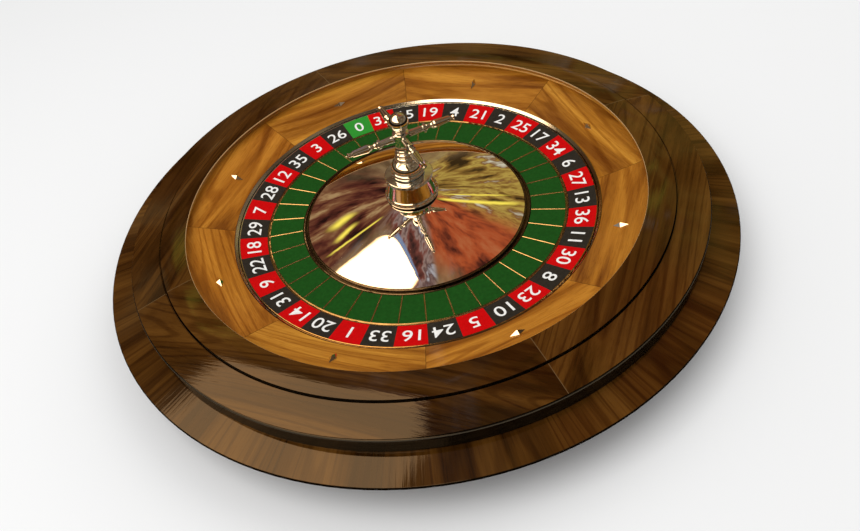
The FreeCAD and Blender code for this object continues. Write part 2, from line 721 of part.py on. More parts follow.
def make_pocket_frets():
    """Half-round strip between each pair of pockets, in line with the panels' edges."""
    body = rotor_body("pocket_frets")
    half_cell = 180 / amount("cell_count")
    start = FreeCAD.Placement(Vector(0, 0, 0), FreeCAD.Rotation(UP, 90 + half_cell))
    body.Placement = body.Placement * start
    sketch = new_sketch(body, "YZ_Plane", z="pocket_inner_radius + fret_end_gap")
    draw_outline(sketch, [
        ("-fret_radius", "pocket_height"),
        ("fret_radius", "pocket_height", "fret_radius", -1),
        ("0", "pocket_height + fret_radius", "fret_radius", -1),
    ])
    strip = body.newObject("PartDesign::Pad", "fret_strip")
    strip.Profile = sketch
    strip.setExpression("Length", bound(
        "pocket_outer_radius - pocket_inner_radius - 2 * fret_end_gap"))
    repeat(body, strip, bound("cell_count"))


def make_middle_trim_ring():
    body = rotor_body("middle_trim_ring")
    turn_profile(body, [
        ("pocket_outer_radius", "disc_top"),
        ("number_inner_radius", "disc_top"),
        ("number_inner_radius", "middle_trim_shoulder", "middle_trim_round", 1),
        ("pocket_outer_radius", "middle_trim_shoulder"),
    ])


def make_inner_trim_ring():
    """Wire next to the pockets, a dark groove, and a bead next to the cone."""
    body = rotor_body("inner_trim_ring")
    turn_profile(body, [
        ("inner_trim_radius", "disc_top"),
        ("pocket_inner_radius", "disc_top"),
        ("pocket_inner_radius", "inner_trim_wire_height", "inner_trim_wire", 1),
        ("inner_trim_wire_inside", "inner_trim_wire_height"),
        ("inner_trim_wire_inside", "inner_trim_groove"),
        ("inner_trim_bead_outside", "inner_trim_groove"),
        ("inner_trim_bead_outside", "inner_trim_bead_height", "inner_trim_bead", 1),
        ("inner_trim_radius", "inner_trim_bead_height"),
    ])


def make_cone():
    """Spun cone, slightly crowned, with a hem that stands on the disc and a flat turret seat."""
    body = rotor_body("cone")
    turn_profile(body, [
        ("inner_trim_radius - cone_thickness", "disc_top"),
        ("inner_trim_radius", "disc_top"),
        ("inner_trim_radius", "cone_edge_height", "cone_crown_radius", -1),
        ("cone_seat_radius", "cone_seat_height"),
        ("hub_spigot_radius", "cone_seat_height"),
        ("hub_spigot_radius", "cone_seat_height - cone_thickness"),
        ("cone_seat_radius", "cone_seat_height - cone_thickness",
         "cone_crown_radius - cone_thickness", 1),
        ("inner_trim_radius - cone_thickness", "cone_edge_height - cone_hem_drop"),
    ])


# ---------------------------------------------------------------------------------------------
# Turret
# ---------------------------------------------------------------------------------------------
def make_turret_base():
    """Foot bead, tapered flank and wide shoulder; screws on to the hub's spigot."""
    body = rotor_body("turret_base")
    turn_profile(body, [
        ("hub_spigot_radius", "cone_seat_height"),
        ("base_bead_inside", "cone_seat_height", "base_bead_radius", -1),
        ("base_bead_inside", "base_bead_top"),
        ("flare_foot_radius", "flare_foot_height", "flare_curve", 1),
        ("flare_neck_radius", "flare_neck_height"),
        ("shoulder_foot_radius", "shoulder_foot_height"),
        ("shoulder_radius", "shoulder_wall_bottom"),
        ("shoulder_radius", "shoulder_wall_top", "shoulder_round", -1),
        ("shoulder_top_radius", "shoulder_top_height"),
        ("base_neck_radius", "base_neck_foot"),
        ("base_neck_radius", "dome_bottom"),
        ("draw_bolt_radius", "dome_bottom"),
        ("draw_bolt_radius", "base_web_bottom"),
        ("hub_spigot_radius", "base_web_bottom"),
    ])


def make_turret_dome():
    body = rotor_body("turret_dome")
    turn_profile(body, [
        ("draw_bolt_radius", "dome_bottom"),
        ("dome_skirt_inside", "dome_bottom", "dome_skirt_round", -1),
        ("dome_skirt_inside", "dome_skirt_top", "dome_curve", -1),
        ("dome_top_radius", "dome_top"),
        ("draw_bolt_radius", "dome_top"),
    ])


def make_turret_neck():
    """Three stacked beads under the arm hub."""
    body = rotor_body("turret_neck")
    turn_profile(body, [
        ("draw_bolt_radius", "dome_top"),
        ("dome_top_radius", "dome_top", "bead_round", -1),
        ("dome_top_radius", "bead_one_top"),
        ("groove_radius", "groove_one", "small_bead_round", -1),
        ("groove_radius", "bead_two_top"),
        ("upper_groove_radius", "groove_two", "small_bead_round", -1),
        ("upper_groove_radius", "bead_three_top", "neck_cove", 1),
        ("neck_radius", "neck_top"),
        ("draw_bolt_radius", "neck_top"),
    ])


def make_arm_hub():
    """Round block with a socket for each arm."""
    body = rotor_body("arm_hub")
    turn_profile(body, [
        ("draw_bolt_radius", "neck_top"),
        ("neck_radius", "neck_top"),
        ("arm_hub_radius", "arm_hub_foot_height"),
        ("arm_hub_radius", "arm_hub_height", "arm_hub_round", -1),
        ("arm_hub_cap_radius", "arm_hub_cap_height"),
        ("arm_hub_top_radius", "arm_hub_top"),
        ("draw_bolt_radius", "arm_hub_top"),
    ])
    sketch = new_sketch(body, "YZ_Plane", z="arm_shank_start")
    draw_circle(sketch, "0", "arm_height", "arm_shank_radius")
    socket = body.newObject("PartDesign::Pocket", "arm_socket")
    socket.Profile = sketch
    socket.Reversed = True
    socket.setExpression("Length", bound("arm_hub_radius"))
    repeat(body, socket, bound("arm_count"))


def make_turret_arms():
    """Four turned arms that stand out level, each with a collar, a bead and a ball tip."""
    body = rotor_body("turret_arms")
    sketch = new_sketch(body, "XZ_Plane", y="arm_height")
    ball_neck = "arm_ball_centre - sqrt(arm_ball_radius ^ 2 - arm_tip_neck ^ 2)"
    draw_outline(sketch, [
        ("arm_shank_start", "0"),
        ("arm_ball_centre + arm_ball_radius", "0", "arm_ball_radius", 1),
        ("arm_ball_centre", "arm_ball_radius", "arm_ball_radius", 1),
        (ball_neck, "arm_tip_neck"),
        ("arm_taper_end", "arm_tip_neck"),
        ("arm_taper_end", "arm_taper_tip"),
        ("arm_taper_start", "arm_taper_radius"),
        ("arm_bead_end", "arm_rod_radius"),
        ("arm_bead_end", "arm_bead_shoulder", "arm_bead_round", 1),
        ("arm_bead_start", "arm_bead_shoulder"),
        ("arm_bead_start", "arm_rod_radius"),
        ("arm_collar_start + arm_collar_width", "arm_rod_radius"),
        ("arm_collar_start + arm_collar_width", "arm_collar_radius"),
        ("arm_collar_start", "arm_collar_radius"),
        ("arm_collar_start", "arm_rod_radius"),
        ("arm_start", "arm_root_radius"),
        ("arm_start", "arm_shank_radius"),
        ("arm_shank_start", "arm_shank_radius"),
    ])
    arm = body.newObject("PartDesign::Revolution", "arm_turned")
    arm.Profile = sketch
    arm.ReferenceAxis = (sketch, ["H_Axis"])
    arm.Angle = 360
    repeat(body, arm, bound("arm_count"))


def make_finial():
    """Ball finial on a long draw bolt that pulls the whole turret together."""
    body = rotor_body("finial")
    ball_neck = "finial_ball_height - sqrt(finial_ball_radius ^ 2 - finial_neck_radius ^ 2)"
    turn_profile(body, [
        ("0", "draw_bolt_bottom"),
        ("draw_bolt_radius", "draw_bolt_bottom"),
        ("draw_bolt_radius", "arm_hub_top"),
        ("arm_hub_top_radius", "arm_hub_top", "finial_collar_round", -1),
        ("finial_neck_radius", "finial_collar_top"),
        ("finial_neck_radius", ball_neck, "finial_ball_radius", -1),
        ("finial_ball_radius", "finial_ball_height", "finial_ball_radius", -1),
        ("0", "finial_ball_height + finial_ball_radius"),
    ])


# ---------------------------------------------------------------------------------------------
# Assembly
# ---------------------------------------------------------------------------------------------
def make_bowl():
    make_base_felt()
    make_base_board()
    make_base_screws()
    make_bowl_wall()
    make_flange_ring()
    make_rim_riser()
    for number in range(1, int(amount("rim_count")) + 1):
        make_rim_segment(number)
    make_ball_track()
    for number in range(1, int(amount("apron_count")) + 1):
        make_apron_segment(number)
    for pair in range(1, int(amount("apron_count")) // 2 + 1):
        make_deflector(f"rim_deflector_{pair}", 2 * pair - 1, True)
        make_deflector(f"cross_deflector_{pair}", 2 * pair, False)
    make_well_ring()


def make_spindle_and_bearings():
    make_spindle()
    make_spindle_bolts()
    upper_top = "upper_bearing_bottom + race_width"
    make_ring("bearing_spacer", "spindle_radius", "spindle_shoulder_radius",
              "lower_bearing_bottom + race_width", "upper_bearing_bottom")
    make_ring("spindle_washer", "spindle_radius", "washer_radius",
              upper_top, upper_top + " + washer_thickness")
    make_spindle_nut()
    for level in ("lower", "upper"):
        bottom = f"{level}_bearing_bottom"
        make_inner_race(f"{level}_inner_race", bottom)
        make_outer_race(f"{level}_outer_race", bottom)
        make_balls(f"{level}_balls", bottom)
        make_cage(f"{level}_cage", bottom)


def make_rotor():
    make_rotor_hub()
    make_hub_bolts()
    make_rotor_disc()
    make_number_ring()
    make_panels("zero_panel", 0)
    make_panels("red_panels", 1, "(cell_count - 1) / 2")
    make_panels("black_panels", 2, "(cell_count - 1) / 2")
    make_outer_trim_ring()
    make_pocket_ring()
    make_pocket_frets()
    make_middle_trim_ring()
    make_inner_trim_ring()
    make_cone()
    make_turret_base()
    make_turret_dome()
    make_turret_neck()
    make_arm_hub()
    make_turret_arms()
    make_finial()


def check_document():
    """Stop before anything is written if an object failed or a sub-part is not a sound solid."""
    for item in doc.Objects:
        if "Invalid" in item.State or "Error" in item.State:
            raise RuntimeError(f"{item.Name} failed: {item.State}")
    for body in SUB_PARTS:
        shape = body.Shape
        if shape.isNull() or not shape.isValid() or not shape.Solids:
            raise RuntimeError(f"{body.Label} has no sound solid")


def export_parts():
    os.makedirs("parts", exist_ok=True)
    for body in SUB_PARTS:
        body.Shape.exportStep(f"parts/{body.Label}.step")


make_bowl()
make_spindle_and_bearings()
make_rotor()
doc.recompute()
check_document()
export_parts()
print(f"{len(SUB_PARTS)} sub-parts written")
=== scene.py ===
import math
from typing import NamedTuple

import bmesh
import bpy
from mathutils import Matrix, Vector


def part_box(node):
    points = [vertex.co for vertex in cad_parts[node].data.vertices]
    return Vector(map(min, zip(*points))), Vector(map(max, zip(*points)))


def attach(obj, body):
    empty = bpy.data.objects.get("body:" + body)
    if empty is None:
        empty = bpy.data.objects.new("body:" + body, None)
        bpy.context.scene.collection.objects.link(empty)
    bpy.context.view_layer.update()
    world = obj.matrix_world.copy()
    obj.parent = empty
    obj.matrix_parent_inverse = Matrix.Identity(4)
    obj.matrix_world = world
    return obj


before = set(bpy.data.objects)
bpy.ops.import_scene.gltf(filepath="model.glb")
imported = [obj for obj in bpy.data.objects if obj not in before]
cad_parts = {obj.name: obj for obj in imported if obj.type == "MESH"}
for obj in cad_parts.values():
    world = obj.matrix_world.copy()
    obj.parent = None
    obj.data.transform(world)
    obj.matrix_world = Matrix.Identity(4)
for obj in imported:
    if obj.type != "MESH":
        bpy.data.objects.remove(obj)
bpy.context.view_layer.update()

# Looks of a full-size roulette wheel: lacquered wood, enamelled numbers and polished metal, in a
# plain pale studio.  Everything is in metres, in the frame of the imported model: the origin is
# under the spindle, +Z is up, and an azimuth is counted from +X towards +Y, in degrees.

# ---------------------------------------------------------------------------------------------
# Sizes of the wheel that the looks depend on
# ---------------------------------------------------------------------------------------------
CELL_COUNT = 37
CELL_ORDER = (0, 32, 15, 19, 4, 21, 2, 25, 17, 34, 6, 27, 13, 36, 11, 30, 8, 23, 10,
              5, 24, 16, 33, 1, 20, 14, 31, 9, 22, 18, 29, 7, 28, 12, 35, 3, 26)
ZERO_AZIMUTH = 87.74
PANEL_INNER_RADIUS = 0.1998
PANEL_OUTER_RADIUS = 0.2347
PANEL_INNER_HEIGHT = 0.0647
PANEL_OUTER_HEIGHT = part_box("zero_panel")[1].z
RIM_QUARTERS = 4
APRON_SEGMENTS = 8
DEFLECTORS = 4
LIP_INLAY_RADIUS = 0.2962
LIP_INLAY_BELOW = 0.1052
TIER_GROOVE = (0.3287, 0.3303)
CROWN_START = 0.309
CROWN_RATE = 2.2
BEAD_CREST = (0.0890, 0.0902)
BEAD_RADIUS = 0.3694
RIM_EDGE_HEIGHT = 0.0918
RIM_EDGE_RADIUS = 0.360
RIM_EDGE_FADE = 0.001
FLANGE_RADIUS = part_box("flange_ring")[1].x
FLANGE_EDGE = 0.0012
# painted shade: height below which the turret base is painted black
FOOT_HEIGHT = 0.0978


# ---------------------------------------------------------------------------------------------
# Node trees
# ---------------------------------------------------------------------------------------------
NEARLY_NOTHING = 1e-5  # keeps a division by the radius safe on the axis


class Polar(NamedTuple):
    """Place about the spindle; across and along are its direction's X and Y, of unit length."""

    across: bpy.types.NodeSocket
    along: bpy.types.NodeSocket
    radius: bpy.types.NodeSocket
    height: bpy.types.NodeSocket


class Tree:
    """Short calls that build the node tree of one material or world."""

    def __init__(self, owner):
        owner.use_nodes = True
        self.nodes = owner.node_tree.nodes
        self.links = owner.node_tree.links
        self.nodes.clear()

    def add(self, kind, inputs=None, **settings):
        """A node; each input is a socket to link or a value to set."""
        node = self.nodes.new(kind)
        for name, value in settings.items():
            setattr(node, name, value)
        for name, value in (inputs or {}).items():
            self.feed(node.inputs[name], value)
        return node

    def feed(self, socket, value):
        if isinstance(value, bpy.types.NodeSocket):
            self.links.new(value, socket)
        else:
            socket.default_value = value

    def maths(self, operation, *values):
        """Result of a Math node."""
        return self.add("ShaderNodeMath", dict(enumerate(values)), operation=operation).outputs[0]

    def combine(self, x, y, z):
        return self.add("ShaderNodeCombineXYZ", {"X": x, "Y": y, "Z": z}).outputs[0]

    def noise(self, vector, scale, detail=2.0, roughness=0.5, distortion=0.0):
        inputs = {"Vector": vector, "Scale": scale, "Detail": detail,
                  "Roughness": roughness, "Distortion": distortion}
        return self.add("ShaderNodeTexNoise", inputs).outputs["Fac"]

    def ramp(self, factor, *stops):
        """Colour ramp through stops of (position, colour)."""
        node = self.add("ShaderNodeValToRGB", {"Fac": factor})
        elements = node.color_ramp.elements
        while len(elements) < len(stops):
            elements.new(1.0)
        for element, (position, colour) in zip(elements, stops):
            element.position = position
            element.color = (*colour, 1.0)
        return node.outputs["Color"]

    def spread(self, value, low, high, first=0.0, last=1.0):
        """Value carried smoothly from the range low..high to first..last."""
        inputs = {"Value": value, "From Min": low, "From Max": high,
                  "To Min": first, "To Max": last}
        node = self.add("ShaderNodeMapRange", inputs, interpolation_type="SMOOTHSTEP")
        return node.outputs["Result"]

    def zone(self, value, low, high, soft):
        """1 between low and high, 0 outside, with soft edges."""
        rise = self.spread(value, low - soft, low + soft)
        fall = self.spread(value, high - soft, high + soft, 1.0, 0.0)
        return self.maths("MULTIPLY", rise, fall)

    def mix(self, factor, first, second, blend_type="MIX"):
        node = self.add("ShaderNodeMix", data_type="RGBA", blend_type=blend_type)
        self.feed(node.inputs[0], factor)
        for socket, value in ((node.inputs[6], first), (node.inputs[7], second)):
            self.feed(socket, value if isinstance(value, bpy.types.NodeSocket) else (*value, 1.0))
        return node.outputs[2]

    def place(self):
        """Place of the shaded point in the part's own frame."""
        return self.add("ShaderNodeTexCoord").outputs["Object"]

    def polar(self):
        """Place of the shaded point about the spindle."""
        split = self.add("ShaderNodeSeparateXYZ", {0: self.place()})
        flat = self.combine(split.outputs["X"], split.outputs["Y"], 0.0)
        radius = self.add("ShaderNodeVectorMath", {0: flat}, operation="LENGTH").outputs["Value"]
        safe = self.maths("MAXIMUM", radius, NEARLY_NOTHING)
        across = self.maths("DIVIDE", split.outputs["X"], safe)
        along = self.maths("DIVIDE", split.outputs["Y"], safe)
        return Polar(across, along, radius, split.outputs["Z"])

    def bump(self, height, distance):
        inputs = {"Height": height, "Distance": distance, "Strength": 1.0}
        return self.add("ShaderNodeBump", inputs).outputs["Normal"]

    def principled(self, **inputs):
        """Finish with a Principled shader; an input's name is written with _ for each space."""
        named = {name.replace("_", " "): value for name, value in inputs.items()}
        named.setdefault("IOR", 1.5)
        shader = self.add("ShaderNodeBsdfPrincipled", named).outputs["BSDF"]
        self.add("ShaderNodeOutputMaterial", {"Surface": shader})


def new_material(name):
    material = bpy.data.materials.new(name)
    return material, Tree(material)


# ---------------------------------------------------------------------------------------------
# Wood
# ---------------------------------------------------------------------------------------------
GRAIN_STRETCH = 0.055  # how much finer the wood is across its grain than along it
PLANK_SHIFT = 0.37  # metres between the cuts of two pieces, for each degree between them
FIGURE_SCALE = 26.0
SWIRL_SCALE = 9.0
LINES_PER_SWIRL = 150.0
FIBRE_SCALE = 700.0
RIPPLE_SCALE = 240.0
FIBRE_RELIEF = 0.35
JOINT_HALF_WIDTH = 0.0004
HAIRLINE = 0.0001

WALNUT = {"dark": (0.021, 0.0078, 0.0010), "middle": (0.058, 0.0215, 0.0030),
          "light": (0.108, 0.044, 0.0072), "line_tone": (0.42, 0.34, 0.26), "line_strength": 0.6}
WALNUT_FINISH = {"roughness": 0.42, "coat": 0.75, "coat_roughness": 0.045, "ripple": 0.00006}
BOWL_FINISH = {"roughness": 0.45, "coat": 0.75, "coat_roughness": 0.08, "ripple": 0.00006}
# near-black of the ebonised wood and of the rim's groove and edge; also painted shade on the flange
# edge and the turret foot
EBONY_AND_PAINTED_SHADE = (0.0022, 0.0015, 0.0009)
EBONY_FIBRE = (0.012, 0.0078, 0.0036)
EBONY_FINISH = {"roughness": 0.35, "coat": 0.6, "coat_roughness": 0.06, "ripple": 0.00004}
GLUE_LINE = (0.150, 0.092, 0.040)
GLUE_SHARE = 0.7
# painted highlight: tone of the thin line along the rim bead's crest
CREST_PAINTED_HIGHLIGHT = (0.055, 0.044, 0.030)
# partly painted highlight: light-wood tone of the lip's nose, made paler for the highlight it
# catches
LIP_INLAY_AND_HIGHLIGHT = (0.52, 0.34, 0.16)

AMBER = {"dark": (0.205, 0.068, 0.0080), "middle": (0.425, 0.172, 0.0185),
         "light": (0.660, 0.315, 0.0410), "line_tone": (0.50, 0.36, 0.22)}
AMBER_SHADE = (0.76, 0.60, 0.50)
AMBER_SHARE = {1: 0.1, 2: 0.3, 3: 0.0, 4: 0.6, 5: 0.75, 6: 0.2, 7: 0.6, 8: 0.35}
APRON_JOINT_SHARE = 0.6
APRON_FINISH = {"roughness": 0.45, "coat": 0.6, "coat_roughness": 0.12, "ripple": 0.00004}
TRACK_FINISH = {"roughness": 0.3, "coat": 1.0, "coat_roughness": 0.04, "ripple": 0.00002}
PLYWOOD = {"dark": (0.30, 0.19, 0.09), "middle": (0.42, 0.28, 0.14), "light": (0.52, 0.37, 0.2)}
LAMINATE = {"dark": (0.16, 0.09, 0.04), "middle": (0.24, 0.15, 0.07), "light": (0.33, 0.22, 0.12)}
BOARD_FINISH = {"roughness": 0.55, "coat": 0.2, "coat_roughness": 0.3, "ripple": 0.00008}


def chord_grain(tree, azimuth):
    """Grain that runs straight, square to the radius at that azimuth."""
    turn = (0.0, 0.0, math.radians(-azimuth))
    turned = tree.add("ShaderNodeMapping", {"Vector": tree.place(), "Rotation": turn})
    inputs = {"Vector": turned.outputs[0], "Scale": (1.0, GRAIN_STRETCH, 1.0),
              "Location": (PLANK_SHIFT * azimuth, 0.0, 0.0)}
    return tree.add("ShaderNodeMapping", inputs).outputs[0]


def radial_grain(tree):
    """Grain that runs outwards from the spindle."""
    here = tree.polar()
    arc_x = tree.maths("MULTIPLY", here.across, FLANGE_RADIUS)
    arc_y = tree.maths("MULTIPLY", here.along, FLANGE_RADIUS)
    out = tree.maths("MULTIPLY", tree.maths("ADD", here.radius, here.height), GRAIN_STRETCH)
    return tree.combine(arc_x, arc_y, out)


def circling_grain(tree, mean_radius):
    """Grain that runs round the spindle."""
    here = tree.polar()
    arc_x = tree.maths("MULTIPLY", here.across, mean_radius * GRAIN_STRETCH)
    arc_y = tree.maths("MULTIPLY", here.along, mean_radius * GRAIN_STRETCH)
    return tree.combine(arc_x, arc_y, tree.maths("ADD", here.radius, here.height))


def wood_colour(tree, grain, dark, middle, light, line_tone, line_strength):
    """Colour of planed wood and its fibres: broad figure, growth lines, fibres and pores."""
    figure = tree.noise(grain, FIGURE_SCALE, 5.0, 0.6, 0.5)
    colour = tree.ramp(figure, (0.35, dark), (0.49, middle), (0.65, light))
    swirl = tree.noise(grain, SWIRL_SCALE, 2.0, 0.5, 0.3)
    wave = tree.maths("SINE", tree.maths("MULTIPLY", swirl, LINES_PER_SWIRL))
    lines = tree.spread(wave, 0.35, 1.0, 0.0, line_strength)
    colour = tree.mix(lines, colour, line_tone, "MULTIPLY")
    fibres = tree.noise(grain, FIBRE_SCALE, 2.0, 0.6)
    pores = tree.spread(fibres, 0.45, 0.75, 0.0, 0.45)
    return tree.mix(pores, colour, line_tone, "MULTIPLY"), fibres


def finish_wood(tree, colour, grain, fibres, roughness, coat, coat_roughness, ripple,
                crown=0.0):
    """Lacquer over the colour; ripple is how far it follows the grain, crown its own relief."""
    waves = tree.noise(grain, RIPPLE_SCALE, 2.0, 0.5)
    relief = tree.maths("ADD", waves, tree.maths("MULTIPLY", fibres, FIBRE_RELIEF))
    height = tree.maths("ADD", tree.maths("MULTIPLY", relief, ripple), crown)
    normal = tree.bump(height, 1.0)
    tree.principled(Base_Color=colour, Roughness=roughness, Specular_IOR_Level=0.0, Normal=normal,
                    Coat_Weight=coat, Coat_Roughness=coat_roughness, Coat_IOR=1.5,
                    Coat_Normal=normal)


def joint_line(tree, count, first_azimuth):
    """1 on thin glue lines that run outwards from the spindle, count of them, evenly spaced."""
    here = tree.polar()
    angle = tree.maths("ARCTAN2", here.along, here.across)
    step = 2.0 * math.pi / count
    offset = tree.maths("SUBTRACT", angle, math.radians(first_azimuth) - step / 2.0)
    within = tree.maths("FLOORED_MODULO", offset, step)
    folded = tree.maths("ABSOLUTE", tree.maths("SUBTRACT", within, step / 2.0))
    distance = tree.maths("MULTIPLY", folded, here.radius)
    return tree.spread(distance, JOINT_HALF_WIDTH * 0.5, JOINT_HALF_WIDTH * 1.5, 1.0, 0.0)


def flange_walnut():
    """Walnut of the outer tier, with its outer edge painted black as shade (painted shade)."""
    material, tree = new_material("walnut_flange")
    grain = radial_grain(tree)
    colour, fibres = wood_colour(tree, grain, **WALNUT)
    # painted shade: the outermost strip of the flange is painted black where its edge falls into
    # shade
    edge = tree.spread(tree.polar().radius, FLANGE_RADIUS - FLANGE_EDGE,
                       FLANGE_RADIUS - FLANGE_EDGE / 2.0)
    colour = tree.mix(edge, colour, EBONY_AND_PAINTED_SHADE)
    finish_wood(tree, colour, grain, fibres, **WALNUT_FINISH)
    return material


def tier_crown(tree, radius):
    """Relief that rounds the rim's upper tier off towards the groove."""
    outwards = tree.maths("MAXIMUM", tree.maths("SUBTRACT", radius, CROWN_START), 0.0)
    upper = tree.spread(radius, *TIER_GROOVE, 1.0, 0.0)
    return tree.maths("MULTIPLY", tree.maths("MULTIPLY", outwards, outwards),
                      tree.maths("MULTIPLY", upper, -CROWN_RATE))


def rim_walnut(quarter):
    """Walnut of one rim quarter, with a pale lip (a light-wood line painted paler for its
    highlight: partly painted highlight), a black groove, a black edge and a painted highlight line
    on the bead's crest.
    """
    material, tree = new_material(f"walnut_rim_{quarter}")
    grain = chord_grain(tree, (quarter - 0.5) * 360.0 / RIM_QUARTERS)
    colour, fibres = wood_colour(tree, grain, **WALNUT)
    here = tree.polar()
    joint = joint_line(tree, RIM_QUARTERS, 0.0)
    colour = tree.mix(tree.maths("MULTIPLY", joint, GLUE_SHARE), colour, GLUE_LINE)
    low = tree.spread(here.height, RIM_EDGE_HEIGHT - HAIRLINE, RIM_EDGE_HEIGHT + HAIRLINE, 1.0, 0.0)
    outer = tree.spread(here.radius, RIM_EDGE_RADIUS - RIM_EDGE_FADE, RIM_EDGE_RADIUS)
    edge = tree.maths("MULTIPLY", low, outer)
    groove = tree.zone(here.radius, *TIER_GROOVE, HAIRLINE)
    colour = tree.mix(tree.maths("MAXIMUM", edge, groove), colour, EBONY_AND_PAINTED_SHADE)
    # partly painted highlight: a light-wood line on the lip's nose, painted paler in place of the
    # highlight it catches
    lip = tree.spread(here.radius, LIP_INLAY_RADIUS - HAIRLINE, LIP_INLAY_RADIUS + HAIRLINE,
                      1.0, 0.0)
    under = tree.spread(here.height, LIP_INLAY_BELOW - HAIRLINE, LIP_INLAY_BELOW, 1.0, 0.0)
    colour = tree.mix(tree.maths("MULTIPLY", lip, under), colour, LIP_INLAY_AND_HIGHLIGHT)
    # painted highlight: a thin lighter line along the bead's crest, in place of the glint it
    # catches
    painted_crest_highlight = tree.maths("MULTIPLY", tree.zone(here.height, *BEAD_CREST, 2.0 * HAIRLINE),
                       tree.spread(here.radius, BEAD_RADIUS, BEAD_RADIUS + 4.0 * HAIRLINE))
    colour = tree.mix(painted_crest_highlight, colour, CREST_PAINTED_HIGHLIGHT)
    finish_wood(tree, colour, grain, fibres, **WALNUT_FINISH, crown=tier_crown(tree, here.radius))
    return material


def bowl_walnut():
    material, tree = new_material("walnut_bowl")
    grain = circling_grain(tree, FLANGE_RADIUS)
    colour, fibres = wood_colour(tree, grain, **WALNUT)
    finish_wood(tree, colour, grain, fibres, **BOWL_FINISH)
    return material


def ebonised_wood():
    material, tree = new_material("ebonised_wood")
    grain = circling_grain(tree, RIM_EDGE_RADIUS)
    fibres = tree.noise(grain, FIBRE_SCALE, 2.0, 0.6)
    colour = tree.ramp(fibres, (0.35, EBONY_AND_PAINTED_SHADE), (0.75, EBONY_FIBRE))
    finish_wood(tree, colour, grain, fibres, **EBONY_FINISH)
    return material


def apron_wood(number):
    """Amber wood of one apron segment; the grain runs straight across it."""
    material, tree = new_material(f"amber_apron_{number}")
    grain = chord_grain(tree, (number - 1) * 360.0 / APRON_SEGMENTS)
    colour, fibres = wood_colour(tree, grain, **AMBER, line_strength=0.55)
    colour = tree.mix(AMBER_SHARE[number], colour, AMBER_SHADE, "MULTIPLY")
    joint = joint_line(tree, APRON_SEGMENTS, 180.0 / APRON_SEGMENTS)
    colour = tree.mix(tree.maths("MULTIPLY", joint, APRON_JOINT_SHARE), colour, WALNUT["dark"])
    finish_wood(tree, colour, grain, fibres, **APRON_FINISH)
    return material


def track_wood():
    material, tree = new_material("amber_track")
    grain = circling_grain(tree, LIP_INLAY_RADIUS)
    colour, fibres = wood_colour(tree, grain, **AMBER, line_strength=0.4)
    finish_wood(tree, colour, grain, fibres, **TRACK_FINISH)
    return material


def board_wood(name, dark, middle, light):
    """Sealed board of the hidden pieces."""
    material, tree = new_material(name)
    grain = chord_grain(tree, 0.0)
    colour, fibres = wood_colour(tree, grain, dark, middle, light, AMBER["line_tone"], 0.5)
    finish_wood(tree, colour, grain, fibres, **BOARD_FINISH)
    return material


# ---------------------------------------------------------------------------------------------
# Metal, enamel and felt
# ---------------------------------------------------------------------------------------------
CHROME = (0.93, 0.92, 0.90)
CHROME_HAZE = (0.86, 0.85, 0.83)
TURRET_CHROME = (0.78, 0.85, 0.92)
TURRET_HAZE = (0.68, 0.75, 0.82)
TURRET_ROUGHNESS = 0.035
RING_CHROME = (0.76, 0.86, 0.95)
RING_ROUGHNESS = 0.08
# painted reflection: browns of the trim rings towards -Y, in place of the warm wood they reflect
# there
WELL_PAINTED_REFLECTION = (0.24, 0.17, 0.08)
NUMBER_PAINTED_REFLECTION = (0.42, 0.31, 0.15)
GILT = {"light": (0.66, 0.57, 0.36), "dark": (0.46, 0.36, 0.19)}
STEEL = {"light": (0.56, 0.56, 0.57), "dark": (0.40, 0.40, 0.41)}
BEARING_STEEL = {"light": (0.80, 0.81, 0.83), "dark": (0.70, 0.71, 0.73)}
CAGE_BRASS = {"light": (0.78, 0.58, 0.26), "dark": (0.62, 0.43, 0.17)}
ALUMINIUM = {"light": (0.74, 0.74, 0.75), "dark": (0.6, 0.6, 0.61)}
MIDDLE_TRIM = {"light": (0.34, 0.27, 0.15), "dark": (0.20, 0.15, 0.08)}
INNER_TRIM = {"light": (0.15, 0.13, 0.10), "dark": (0.085, 0.072, 0.052)}
CONE_HAZE = (0.90, 0.89, 0.87)
CONE_POLISH = {"roughness": 0.012, "coarse": 0.01, "scale": 14.0, "ripple": 0.00015}
HAZE_SCALE = 90.0
SPECK_SCALE = 700.0
LATHE_SCALE = 900.0
LATHE_DEPTH = 0.00002
SPECK_DEPTH = 0.0001
SPECK_SHARE = 0.3
PAINTED_REFLECTION_RANGE = (-0.35, 0.75)  # painted reflection: from all brown to all bright, in the direction's Y
FOOT_FADE = 0.0004
MOTTLE_SCALE = 260.0
PEEL_SCALE = 900.0
FUZZ_SCALE = 1400.0
RED_ENAMEL = {"tone": (0.590, 0.0012, 0.0020), "deep": (0.520, 0.0010, 0.0016),
              "specular": 0.04}
BLACK_ENAMEL = {"tone": (0.0270, 0.0235, 0.0185), "deep": (0.0190, 0.0165, 0.0130)}
GREEN_ENAMEL = {"tone": (0.0270, 0.2900, 0.0290), "deep": (0.0230, 0.2500, 0.0250)}
POCKET_ENAMEL = {"tone": (0.0105, 0.0760, 0.0090), "deep": (0.0085, 0.0600, 0.0070),
                 "roughness": 0.5, "specular": 0.05}
WHITE_ENAMEL = {"tone": (0.90, 0.90, 0.88), "deep": (0.80, 0.80, 0.78)}
GREEN_FELT = {"tone": (0.020, 0.075, 0.030), "deep": (0.008, 0.035, 0.014)}
ENAMEL_PEEL = 0.00001
FELT_NAP = 0.0003


